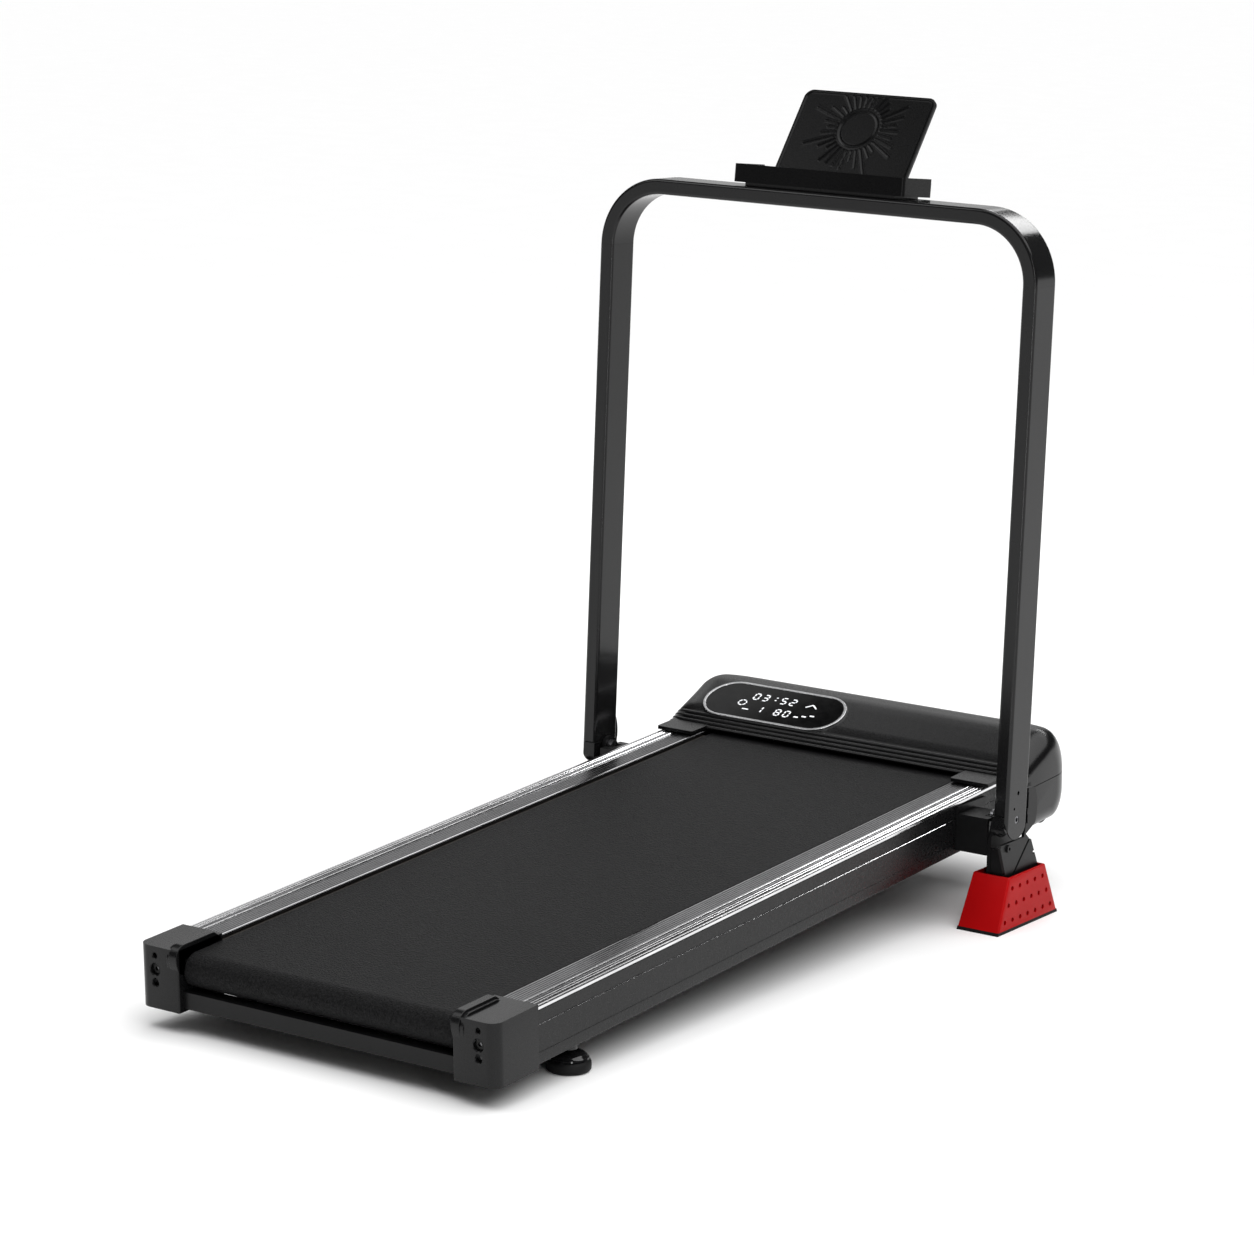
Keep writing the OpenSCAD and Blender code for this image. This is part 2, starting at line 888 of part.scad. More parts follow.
module pivot_bolts() {
    color(steel) floor_space() for (side = [-1, 1]) {
        on_side(side) difference() {
            union() {
                bar(inner_plate_x - 1, rail_out - 0.5, bolt_r, pivot_y, pivot_z);
                bar(inner_plate_x - 6.5, inner_plate_x - 0.1, 8, pivot_y, pivot_z);
            }
            bar(rail_out - 5, rail_out, 2.8, pivot_y, pivot_z);
        }
    }
}

// Flat tube outline: thickness along the first axis, depth along the second
module tube_outline() {
    difference() {
        rounded_rect(tube_t, tube_d, tube_r);
        rounded_rect(tube_t - 2 * tube_wall, tube_d - 2 * tube_wall, tube_r - tube_wall);
    }
}

module upright(side) {
    mid_x = rail_out - tube_t / 2;
    color(charcoal) handrail_space() on_side(side) difference() {
        intersection() {
            translate([mid_x, 0, -tube_d]) linear_extrude(handrail_rise - bend_r - 0.1 + tube_d)
                tube_outline();
            union() {
                bar(mid_x - tube_t, mid_x + tube_t, tube_d / 2);
                block([mid_x - tube_t, -tube_d, 0], [mid_x + tube_t, tube_d, handrail_rise]);
            }
        }
        bar(rail_out - 2 * tube_t, rail_out + 1, bolt_r + run_gap);
        bar(rail_out - 3, rail_out + 1, 2.6, 0, 34);
        bar(rail_out - 3, rail_out + 1, 1.8, -8, 15);
    }
}

module upright_left() {
    upright(-1);
}

module upright_right() {
    upright(1);
}

module crossbar() {
    bend_x = rail_out - bend_r;
    bend_h = handrail_rise - bend_r;
    color(charcoal) handrail_space() {
        translate([0, 0, handrail_rise - tube_t / 2]) rotate([0, 90, 0])
            translate([0, 0, -bend_x]) linear_extrude(2 * bend_x) tube_outline();
        for (side = [-1, 1]) {
            on_side(side) translate([bend_x, 0, bend_h]) rotate([90, 0, 0])
                rotate_extrude(angle = 90, $fn = 96) translate([bend_r - tube_t / 2, 0]) tube_outline();
        }
    }
}

module pivot_bushes() {
    color(steel) handrail_space() for (side = [-1, 1]) {
        on_side(side) difference() {
            bar(rail_out - tube_t + tube_wall, rail_out - tube_wall, 9);
            bar(rail_out - tube_t, rail_out, bolt_r + run_gap);
        }
    }
}

// Shroud round the rear and inner faces of each upright's lower end
module upright_boots() {
    back = 2.6;
    side_wall = 1;
    x0 = rail_out - tube_t - side_wall;
    x1 = rail_out - plate_t - 0.6;
    color(black) handrail_space() for (side = [-1, 1]) {
        on_side(side) difference() {
            intersection() {
                block([x0, -tube_d / 2 - back, -tube_d], [x1, tube_d / 2 - 4, 6]);
                bar(x0 - 1, x1 + 1, tube_d / 2 + back + 2);
            }
            intersection() {
                block([rail_out - tube_t - 0.05, -tube_d / 2 - 0.05, -tube_d], [rail_out, tube_d, 10]);
                union() {
                    bar(x0, x1 + 1, tube_d / 2 + 0.05);
                    block([x0, -tube_d, 0], [x1 + 1, tube_d, 10]);
                }
            }
            bar(x0 - 1, x1 + 1, 9.5);
            // Opened below, where the boot would sweep the leg
            block([x0 - 1, -tube_d, -tube_d - 1], [x1 + 1, tube_d, -14]);
        }
    }
}

module tablet_tray() {
    corner = 5;
    color(black) handrail_space() translate([0, tray_back, tray_base]) rotate([-tray_tilt, 0, 0]) {
        difference() {
            translate([0, tray_d / 2, 0]) linear_extrude(tray_h) rounded_rect(tray_w, tray_d, corner);
            translate([0, tray_d / 2, tray_wall]) linear_extrude(tray_h)
                rounded_rect(tray_w - 2 * tray_wall, tray_d - 2 * tray_wall, corner - tray_wall);
            // The far wall is lower than the near one
            block([-tray_w, tray_d - tray_wall - 1, 18], [tray_w, tray_d + 1, tray_h + 1]);
        }
    }
    // Hinge lugs on the tray's floor
    color(black) handrail_space() for (side = [-1, 1]) {
        on_side(side) difference() {
            union() {
                bar(panel_w / 2 + 0.6, panel_w / 2 + 7, hinge_r, hinge_d, hinge_h);
                block([panel_w / 2 + 0.6, hinge_d - hinge_r, tray_base - 1],
                    [panel_w / 2 + 7, hinge_d + hinge_r, hinge_h]);
            }
            bar(panel_w / 2, panel_w / 2 + 8, pin_r + 0.02, hinge_d, hinge_h);
        }
    }
}

module tray_clamp() {
    far = tray_back + tray_d - 8;
    near = tray_back + 6;
    drop = tan(tray_tilt);
    color("black") handrail_space() across(-110, 110) polygon([
        [near, handrail_rise + 0.1], [tube_d / 2 + 0.5, handrail_rise + 0.1],
        [tube_d / 2 + 0.5, handrail_rise - 7], [far, handrail_rise - 7],
        [far, tray_base - (far - tray_back) * drop - 0.1],
        [near, tray_base - (near - tray_back) * drop - 0.1]
    ]);
}

// Back panel in its own plane: X across, Y up the panel from the hinge, Z towards the user
module panel_shape() {
    thick = 5;
    corner = 12;
    ring_r = 26;
    rays = 32;
    mid = panel_l / 2 + 12;
    difference() {
        union() {
            translate([0, panel_l / 2 + 2, -thick / 2]) linear_extrude(thick)
                rounded_rect(panel_w, panel_l - 4, corner);
            block([-panel_w / 2, 0, -thick / 2], [panel_w / 2, corner + 4, thick / 2]);
            bar(-panel_w / 2, panel_w / 2, hinge_r);
        }
        bar(-panel_w / 2 - 1, panel_w / 2 + 1, pin_r + run_gap);
        // Recessed field inside the raised rim
        translate([0, panel_l / 2 + 6, thick / 2 - 0.8]) linear_extrude(2)
            rounded_rect(panel_w - 7, panel_l - 19, corner - 4);
        // Round groove and the rays around it
        translate([0, mid, 0]) {
            difference() {
                cylinder(r = ring_r + 1, h = thick);
                translate([0, 0, -1]) cylinder(r = ring_r - 1, h = thick + 2);
                translate([0, 0, -1]) cylinder(r = ring_r + 2, h = 2);
            }
            for (i = [0:rays - 1]) {
                rotate(i * 360 / rays) block([ring_r + 5, -0.7, 1], [ring_r + 18, 0.7, thick]);
            }
        }
    }
}

module tablet_panel() {
    color(black) handrail_space() translate([0, hinge_d, hinge_h])
        rotate([90 - panel_lean + lean, 0, 0]) panel_shape();
}

module panel_pins() {
    color(steel) handrail_space() for (side = [-1, 1]) {
        on_side(side) bar(panel_w / 2 - 14, panel_w / 2 + 6.5, pin_r, hinge_d, hinge_h);
    }
}

// Floor point of a levelling foot
function level_y() = level_v * cos(deck_tilt) - rail_bottom * sin(deck_tilt);

module level_pad(side) {
    color("dimgray") floor_space() translate([side * level_x, level_y(), 0])
        rotate_extrude() polygon([
            [4.05, 3], [4.05, 14], [pad_d / 2 - 1, 14], [pad_d / 2, 12], [pad_d / 2, 2],
            [pad_d / 2 - 2, 0], [9, 0], [9, 3]
        ]);
}

module level_pad_left() {
    level_pad(-1);
}

module level_pad_right() {
    level_pad(1);
}

module level_stud(side) {
    color(black) floor_space() translate([side * level_x, level_y(), 0]) {
        translate([0, 0, 3.2]) cylinder(r = 4, h = 55);
        translate([0, 0, 14.1]) rotate_extrude() intersection() {
            translate([0, -28]) circle(r = 37.5);
            square([pad_d / 2 - 1.5, 10]);
        }
        translate([0, 0, 24.5]) cylinder(r = 8, h = 5, $fn = 6);
    }
}

module level_stud_left() {
    level_stud(-1);
}

module level_stud_right() {
    level_stud(1);
}

side_rail_left();
side_rail_right();
rear_cross_tube();
support_tubes();
deck_board();
deck_cushions();
running_belt();
rear_roller();
rear_axle();
tension_bolts();
end_cap_left();
end_cap_right();
motor_tray();
front_roller();
front_axle();
roller_pulley();
motor_can();
motor_shaft();
motor_pulley();
flywheel();
cooling_fan();
drive_belt();
control_board();
heat_sink();
motor_cover();
lower_pan();
display_bezel();
display_lens();
display_board();
power_inlet();
switch_housing();
power_switch();
wheel_forks();
wheel_axles();
transport_wheel_left();
transport_wheel_right();
leg_left();
leg_right();
link_left();
link_right();
foot_left();
foot_right();
sole_left();
sole_right();
foot_bolts();
pivot_bolts();
upright_left();
upright_right();
crossbar();
pivot_bushes();
upright_boots();
tablet_tray();
tray_clamp();
tablet_panel();
panel_pins();
level_pad_left();
level_pad_right();
level_stud_left();
level_stud_right();
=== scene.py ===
import json
import math

import bmesh
import bpy
from mathutils import Matrix, Vector


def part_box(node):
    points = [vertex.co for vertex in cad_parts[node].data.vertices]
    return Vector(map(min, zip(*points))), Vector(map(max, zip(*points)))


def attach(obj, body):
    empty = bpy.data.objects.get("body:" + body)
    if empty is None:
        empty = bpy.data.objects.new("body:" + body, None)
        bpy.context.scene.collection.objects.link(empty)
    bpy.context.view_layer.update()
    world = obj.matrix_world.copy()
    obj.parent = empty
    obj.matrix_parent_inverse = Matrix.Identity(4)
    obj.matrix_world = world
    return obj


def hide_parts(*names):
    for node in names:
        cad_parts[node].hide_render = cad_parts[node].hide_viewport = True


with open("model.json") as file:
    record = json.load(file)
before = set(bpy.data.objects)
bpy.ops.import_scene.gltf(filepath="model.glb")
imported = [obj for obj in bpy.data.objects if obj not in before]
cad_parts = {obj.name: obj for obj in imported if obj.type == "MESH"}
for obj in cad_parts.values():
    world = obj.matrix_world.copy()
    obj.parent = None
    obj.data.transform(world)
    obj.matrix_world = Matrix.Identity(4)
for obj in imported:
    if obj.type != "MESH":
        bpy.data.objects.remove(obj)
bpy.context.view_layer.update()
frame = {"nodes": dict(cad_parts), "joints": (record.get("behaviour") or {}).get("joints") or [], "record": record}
NODES = frame["nodes"]
SLOT_OF = {part["node"]: part["material_slot"] for part in frame["record"]["subparts"]}
SCENE = bpy.context.scene

# ---------------------------------------------------------------- camera

CAMERA_AZIMUTH = math.radians(34.444)
CAMERA_ELEVATION = math.radians(12.017)
CAMERA_ROLL = math.radians(1.189)
CAMERA_DISTANCE = 4.7194
CAMERA_TARGET = Vector((0.194, -0.30785, 0.47436))
LENS = 121.69


def make_camera():
    """The photo's camera: right of the treadmill's rear, a little above it."""
    back = Vector((
        math.sin(CAMERA_AZIMUTH) * math.cos(CAMERA_ELEVATION),
        -math.cos(CAMERA_AZIMUTH) * math.cos(CAMERA_ELEVATION),
        math.sin(CAMERA_ELEVATION),
    ))
    level = Vector((0, 0, 1)).cross(back).normalized()
    upright = back.cross(level)
    right = level * math.cos(CAMERA_ROLL) + upright * math.sin(CAMERA_ROLL)
    up = back.cross(right)
    data = bpy.data.cameras.new("camera")
    data.lens = LENS
    data.clip_start, data.clip_end = 0.1, 60
    camera = bpy.data.objects.new("camera", data)
    SCENE.collection.objects.link(camera)
    turn = Matrix((right, up, back)).transposed().to_4x4()
    camera.matrix_world = Matrix.Translation(CAMERA_TARGET + back * CAMERA_DISTANCE) @ turn
    SCENE.camera = camera


# ---------------------------------------------------------------- light and floor

def area_light(name, place, aim, size, power):
    data = bpy.data.lights.new(name, "AREA")
    data.shape = "RECTANGLE"
    data.size, data.size_y = size
    data.energy = power
    light = bpy.data.objects.new(name, data)
    light.location = place
    light.rotation_mode = "QUATERNION"
    light.rotation_quaternion = (Vector(aim) - Vector(place)).to_track_quat("-Z", "Y")
    light.visible_camera = False
    SCENE.collection.objects.link(light)


ROOM_LIGHT = 0.05
FLOOR_REACH = 60
CENTRE = Vector((0, 0, 0.4))
SKY_POWER, SKY_SPREAD, SKY_SIDE = 3.3, math.radians(80), Vector((0.3, 0.05, 1))
# Name, place, what it points at, width and height, power
LAMPS = (
    ("strip", (1.75, -1.6, 0.9), (0.3, 0.1, 0.5), (0.16, 1.8), 10),
    ("back", (-0.2, 3.0, 2.3), CENTRE, (1.6, 0.35), 14),
    ("low_left", (-2.6, 3.8, 1.3), CENTRE, (4.0, 1.8), 12),
    ("slope_fill", (-1.9, 2.5, 2.3), CENTRE, (2.4, 1.4), 13),
    ("high_left", (-2.3, -1.8, 3.3), CENTRE, (2.0, 2.0), 30),
)


def make_studio():
    """White world for the camera, dim for everything else, with soft lamps and a pale floor."""
    world = bpy.data.worlds.new("studio")
    world.use_nodes = True
    tree = world.node_tree
    backdrop = tree.nodes["Background"]
    backdrop.inputs["Color"].default_value = (1, 1, 1, 1)
    seen = tree.nodes.new("ShaderNodeLightPath")
    level = tree.nodes.new("ShaderNodeMapRange")
    level.inputs["To Min"].default_value = ROOM_LIGHT
    level.inputs["To Max"].default_value = 1.0
    tree.links.new(seen.outputs["Is Camera Ray"], level.inputs["Value"])
    tree.links.new(level.outputs["Result"], backdrop.inputs["Strength"])
    SCENE.world = world
    SCENE.view_settings.view_transform = "Standard"
    sky = bpy.data.lights.new("sky_panel", "SUN")
    sky.energy = SKY_POWER
    sky.angle = SKY_SPREAD
    lamp = bpy.data.objects.new("sky_panel", sky)
    lamp.rotation_mode = "QUATERNION"
    lamp.rotation_quaternion = SKY_SIDE.to_track_quat("Z", "Y")
    SCENE.collection.objects.link(lamp)
    for lamp_row in LAMPS:
        area_light(*lamp_row)
    mesh = bpy.data.meshes.new("floor")
    corners = ((-1, -1), (1, -1), (1, 1), (-1, 1))
    mesh.from_pydata([(FLOOR_REACH * x, FLOOR_REACH * y, 0) for x, y in corners], [],
                     [(0, 1, 2, 3)])
    floor = bpy.data.objects.new("floor", mesh)
    SCENE.collection.objects.link(floor)
    mesh.materials.append(surface("floor_paper", (0.94, 0.94, 0.94), 0.9, grain=(3, 0.0),
                                  specular=0.0, spread=0.005, rough_spread=0.01))


# ---------------------------------------------------------------- materials

def link(tree, source, target):
    tree.links.new(source, target)


def add(tree, kind, **values):
    node = tree.nodes.new(kind)
    for key, value in values.items():
        if key in node.inputs:
            node.inputs[key].default_value = value
        else:
            setattr(node, key, value)
    return node


def noise(tree, place, scale, detail=2.0, roughness=0.5):
    node = add(tree, "ShaderNodeTexNoise")
    node.inputs["Scale"].default_value = scale
    node.inputs["Detail"].default_value = detail
    node.inputs["Roughness"].default_value = roughness
    link(tree, place, node.inputs["Vector"])
    return node.outputs["Fac"]


def ramp_range(tree, source, low, high, start=0.35, end=0.65):
    node = add(tree, "ShaderNodeMapRange")
    node.inputs["From Min"].default_value = start
    node.inputs["From Max"].default_value = end
    node.inputs["To Min"].default_value = low
    node.inputs["To Max"].default_value = high
    link(tree, source, node.inputs["Value"])
    return node.outputs["Result"]


def shades(tree, source, dark, light, start=0.35, end=0.65):
    node = add(tree, "ShaderNodeValToRGB")
    node.color_ramp.elements[0].position = start
    node.color_ramp.elements[1].position = end
    node.color_ramp.elements[0].color = (*dark, 1)
    node.color_ramp.elements[1].color = (*light, 1)
    link(tree, source, node.inputs["Fac"])
    return node.outputs["Color"]


DRIFT_SCALE, GRAIN_HEIGHT = 9.0, 0.0006


def surface(name, colour, rough, metal=0.0, specular=0.5, grain=(1400, 0.1),
            stretch=(1, 1, 1), spread=0.15, rough_spread=0.06):
    """A material whose colour drifts a little, with a fine grain in its height and gloss."""
    material = bpy.data.materials.new(name)
    material.use_nodes = True
    tree = material.node_tree
    shader = tree.nodes["Principled BSDF"]
    shader.inputs["Metallic"].default_value = metal
    shader.inputs["Specular IOR Level"].default_value = specular
    place = add(tree, "ShaderNodeTexCoord").outputs["Object"]
    drift = noise(tree, place, DRIFT_SCALE, 3.0)
    dark = [c * (1 - spread) for c in colour]
    light = [min(1, c * (1 + spread)) for c in colour]
    link(tree, shades(tree, drift, dark, light), shader.inputs["Base Color"])
    scaled = add(tree, "ShaderNodeMapping")
    scaled.inputs["Scale"].default_value = stretch
    link(tree, place, scaled.inputs["Vector"])
    fine = noise(tree, scaled.outputs["Vector"], grain[0], 3.0, 0.6)
    link(tree, ramp_range(tree, fine, rough - rough_spread, rough + rough_spread),
         shader.inputs["Roughness"])
    bump = add(tree, "ShaderNodeBump")
    bump.inputs["Strength"].default_value = grain[1]
    bump.inputs["Distance"].default_value = GRAIN_HEIGHT
    link(tree, fine, bump.inputs["Height"])
    link(tree, bump.outputs["Normal"], shader.inputs["Normal"])
    return material


def belt_surface(name):
    """Black belt rubber with a fine pebbled weave pressed into it."""
    material = surface(name, (0.0055, 0.0055, 0.0058), 0.55, specular=0.1, grain=(900, 0.4))
    tree = material.node_tree
    shader = tree.nodes["Principled BSDF"]
    place = add(tree, "ShaderNodeTexCoord").outputs["Object"]
    cells = add(tree, "ShaderNodeTexVoronoi")
    cells.inputs["Scale"].default_value = 480
    link(tree, place, cells.inputs["Vector"])
    speckle = noise(tree, place, 420, 3.0, 0.65)
    link(tree, shades(tree, speckle, (0.0022, 0.0022, 0.0024), (0.0135, 0.0135, 0.014), 0.36, 0.66),
         shader.inputs["Base Color"])
    bump = add(tree, "ShaderNodeBump")
    bump.inputs["Strength"].default_value = 0.9
    bump.inputs["Distance"].default_value = 0.0009
    link(tree, cells.outputs["Distance"], bump.inputs["Height"])
    link(tree, bump.outputs["Normal"], shader.inputs["Normal"])
    return material


def glowing(name):
    """White light behind the display lens, a little uneven."""
    material = bpy.data.materials.new(name)
    material.use_nodes = True
    tree = material.node_tree
    shader = tree.nodes["Principled BSDF"]
    shader.inputs["Base Color"].default_value = (0.6, 0.62, 0.65, 1)
    place = add(tree, "ShaderNodeTexCoord").outputs["Object"]
    glow = noise(tree, place, 90, 2.0)
    link(tree, shades(tree, glow, (0.7, 0.72, 0.75), (1, 1, 1)), shader.inputs["Emission Color"])
    shader.inputs["Emission Strength"].default_value = 0.8
    return material


def make_materials():
    black = (0.005, 0.005, 0.0053)
    return {
        "rail_finish": surface("rail_finish", (0.16, 0.16, 0.165), 0.26, metal=1.0,
                               grain=(500, 0.0), stretch=(1, 0.01, 0.01), rough_spread=0.06),
        # Bright metal colour laid on the rail beads, edges and side groove: painted highlight
        "rail_painted_highlight": surface("rail_painted_highlight", (0.75, 0.75, 0.76), 0.14, metal=1.0,
                             grain=(200, 0.0), rough_spread=0.04),
        "dark_bolt": surface("dark_bolt", (0.02, 0.02, 0.02), 0.35, metal=1.0, grain=(900, 0.05)),
        # Near-black, non-reflective colour lining the cap and foot holes: painted shade in the recesses
        "hole_shade": surface("hole_shade", (0.002, 0.002, 0.002), 0.8, specular=0.0, grain=(900, 0.1)),
        "rail_side": surface("rail_side", black, 0.3, specular=0.22, grain=(300, 0.0)),
        "lit_figures": glowing("lit_figures"),
        "frame_steel": surface("frame_steel", black, 0.36, specular=0.2, grain=(1100, 0.05)),
        "board": surface("board", (0.03, 0.026, 0.022), 0.6, grain=(600, 0.2)),
        "rubber": surface("rubber", black, 0.6, specular=0.2, grain=(900, 0.2)),
        "belt": belt_surface("belt"),
        "bright_steel": surface("bright_steel", (0.2, 0.2, 0.21), 0.3, metal=1.0,
                                grain=(900, 0.05)),
        "shell_plastic": surface("shell_plastic", black, 0.26, specular=0.28, grain=(1300, 0.05)),
        "part_plastic": surface("part_plastic", black, 0.28, specular=0.25, grain=(1300, 0.04)),
        "motor_paint": surface("motor_paint", (0.02, 0.02, 0.022), 0.4),
        "drive_rubber": surface("drive_rubber", (0.012, 0.012, 0.012), 0.65, grain=(900, 0.3)),
        "circuit": surface("circuit", (0.02, 0.09, 0.04), 0.45, grain=(500, 0.2)),
        "heat_sink": surface("heat_sink", (0.5, 0.5, 0.52), 0.35, metal=1.0, grain=(900, 0.1)),
        "lens": surface("lens", (0.002, 0.002, 0.0022), 0.08, specular=0.12, grain=(60, 0.0),
                        rough_spread=0.02),
        "bezel": surface("bezel", (0.6, 0.6, 0.61), 0.22, metal=1.0,
                         grain=(1200, 0.02), rough_spread=0.02),
        "wheel_plastic": surface("wheel_plastic", black, 0.35, specular=0.3, grain=(1300, 0.1)),
        "foot_red": surface("foot_red", (0.4, 0.003, 0.004), 0.36, specular=0.1,
                            grain=(1300, 0.04), spread=0.08),
        "handrail_finish": surface("handrail_finish", (0.008, 0.008, 0.0083), 0.16, specular=0.3,
                                   grain=(900, 0.01), rough_spread=0.02),
        "tray_plastic": surface("tray_plastic", (0.003, 0.003, 0.0032), 0.28, specular=0.15,
                                grain=(1300, 0.04)),
        "stud_finish": surface("stud_finish", (0.006, 0.006, 0.0065), 0.12, specular=0.5,
                               grain=(900, 0.02), rough_spread=0.02),
    }


# ---------------------------------------------------------------- places on the part

MM = 0.001
RECORD = frame["record"]
LEAN = math.radians(1.65)
# Where the running surface's mount is in the deck's frame, in mm
MOUNT_V, BELT_TOP = 560, 66.5


def deck_frame():
    """The sloping deck's frame: X, distance from its rear end, height above its underside."""
    mount = next(m for m in RECORD["mounts"] if m["name"] == "running_surface")
    axis = Vector(mount["axis"])
    turn = Matrix.Rotation(math.atan2(-axis.y, axis.z), 4, "X")
    corner = Vector(mount["pos_m"]) - turn @ Vector((0, MOUNT_V * MM, BELT_TOP * MM))
    return Matrix.Translation(corner) @ turn


def handrail_frame():
    """The handrail's own frame: X, distance forward of the fold pivot, height above it."""
    joint = next(j for j in frame["joints"] if j["name"] == "handrail_fold")
    return Matrix.Translation(Vector(joint["pos_m"])) @ Matrix.Rotation(-LEAN, 4, "X")


DECK = deck_frame()
RAIL = handrail_frame()
FLOOR = Matrix.Identity(4)
FLOOR.translation = (0, DECK.translation.y, 0)


# ---------------------------------------------------------------- mesh tools

def new_object(name, bm, place, materials, smooth=True):
    """Makes an object from a bmesh drawn in millimetres in the frame called place."""
    bmesh.ops.transform(bm, matrix=place @ Matrix.Scale(MM, 4), verts=bm.verts)
    bmesh.ops.recalc_face_normals(bm, faces=bm.faces)
    mesh = bpy.data.meshes.new(name)
    bm.to_mesh(mesh)
    bm.free()
    for polygon in mesh.polygons:
        polygon.use_smooth = smooth
    for material in materials:
        mesh.materials.append(material)
    made = bpy.data.objects.new(name, mesh)
    SCENE.collection.objects.link(made)
    return made


def box_mesh(low, high):
    bm = bmesh.new()
    bmesh.ops.create_cube(bm, size=1)
    for vert in bm.verts:
        vert.co = [h if c > 0 else l for c, l, h in zip(vert.co, low, high)]
    return bm


def round_edges(bm, pick, radius, segments=5):
    """Rounds the edges for which pick(a, b), given the two ends, is true."""
    edges = [e for e in bm.edges if pick(e.verts[0].co, e.verts[1].co)]
    bmesh.ops.bevel(bm, geom=edges, offset=radius, segments=segments, profile=0.5,
                    affect="EDGES", clamp_overlap=True)


def arc(cx, cy, radius, start, end, count):
    """Points on an arc, angles in degrees."""
    return [(cx + radius * math.cos(math.radians(start + (end - start) * i / count)),
             cy + radius * math.sin(math.radians(start + (end - start) * i / count)))
            for i in range(count + 1)]


def loft(loops):
    """Skin over a list of closed loops with equal point counts, closed by a face at each end."""
    bm = bmesh.new()
    rings = [[bm.verts.new(point) for point in loop] for loop in loops]
    for ring_a, ring_b in zip(rings, rings[1:]):
        for i in range(len(ring_a)):
            j = (i + 1) % len(ring_a)
            bm.faces.new((ring_a[i], ring_a[j], ring_b[j], ring_b[i]))
    bm.faces.new(rings[0])
    bm.faces.new(rings[-1])
    return bm


def extruded(outline, low, high, axis="X"):
    """A prism along X (outline in Y, Z) or along Y (outline in X, Z) or Z (outline in X, Y)."""
    order = {"X": lambda p, t: (t, p[0], p[1]), "Y": lambda p, t: (p[0], t, p[1]),
             "Z": lambda p, t: (p[0], p[1], t)}[axis]
    return loft([[order(p, t) for p in outline] for t in (low, high)])


def lathe(profile, count=48):
    """A closed solid turned about Z from (radius, height) points that start and end on the axis."""
    bm = bmesh.new()
    rings = []
    for radius, height in profile:
        if radius < 1e-6:
            rings.append([bm.verts.new((0, 0, height))])
        else:
            rings.append([bm.verts.new((radius * math.cos(math.tau * i / count),
                                        radius * math.sin(math.tau * i / count), height))
                          for i in range(count)])
    for ring_a, ring_b in zip(rings, rings[1:]):
        for i in range(count):
            j = (i + 1) % count
            corners = [ring_a[i % len(ring_a)], ring_a[j % len(ring_a)],
                       ring_b[j % len(ring_b)], ring_b[i % len(ring_b)]]
            corners = list(dict.fromkeys(corners))
            if len(corners) > 2:
                bm.faces.new(corners)
    return bm


def mirrored(bm):
    """Turns a right-hand shape into the left-hand one."""
    bmesh.ops.scale(bm, vec=(-1, 1, 1), verts=bm.verts)
    bmesh.ops.reverse_faces(bm, faces=bm.faces)


def bake(made):
    """Replaces an object's mesh by its mesh with modifiers, and removes the modifiers."""
    graph = bpy.context.evaluated_depsgraph_get()
    mesh = bpy.data.meshes.new_from_object(made.evaluated_get(graph))
    made.modifiers.clear()
    made.data = mesh


def combine(made, tools, operation):
    """Cuts away, joins or keeps the part common with each tool, then drops the tools."""
    for tool in tools:
        step = made.modifiers.new("boolean", "BOOLEAN")
        step.operation = operation
        step.object = tool
        step.solver = "EXACT"
    bpy.context.view_layer.update()
    bake(made)
    for tool in tools:
        bpy.data.objects.remove(tool)


def soften(made, width, segments=2, angle=35):
    """Small rounding on sharp edges, with shading that keeps the flat faces flat."""
    step = made.modifiers.new("edges", "BEVEL")
    step.width = width * MM
    step.segments = segments
    step.limit_method = "ANGLE"
    step.angle_limit = math.radians(angle)
    step.harden_normals = True
    step.miter_outer = "MITER_ARC"
    for polygon in made.data.polygons:
        polygon.use_smooth = True


def flat_faces(made, angle=30):
    """Smooth shading inside each face group, sharp where faces meet at more than the angle."""
    made.data.shade_smooth()
    made.data.set_sharp_from_angle(angle=math.radians(angle))


def placed(made, body, slot, *nodes):
    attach(made, body)
    if nodes:
        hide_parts(*nodes)
    return made


# ---------------------------------------------------------------- end caps

CAP_IN, CAP_OUT, CAP_LENGTH, CAP_HEIGHT = 192.5, 251.0, 78.0, 74.0
# Height and radius of each hole in a cap's rear face
CAP_HOLES = ((63, 3.2), (46.5, 7), (31, 4.6))
CAP_HOLE_X, CAP_HOLE_DEEP = 227, 9


def rib_outline(rise, back, front):
    """Side outline of the raised rib: an S-curve up from the rail, then over and down the rear."""
    top = CAP_HEIGHT + rise
    points = [(front, CAP_HEIGHT - 8), (front, CAP_HEIGHT - 3)]
    run, count = 13, 10
    for i in range(count + 1):
        t = i / count
        points.append((front - run * t, CAP_HEIGHT - 2 + (rise + 2) * t * t * (3 - 2 * t)))
    points += arc(15 - back, top - 15, 15, 90, 176, 10)
    points += [(-back * 0.8, 60), (-back * 0.3, 54), (1.5, 46), (14, 40), (14, 60)]
    return points


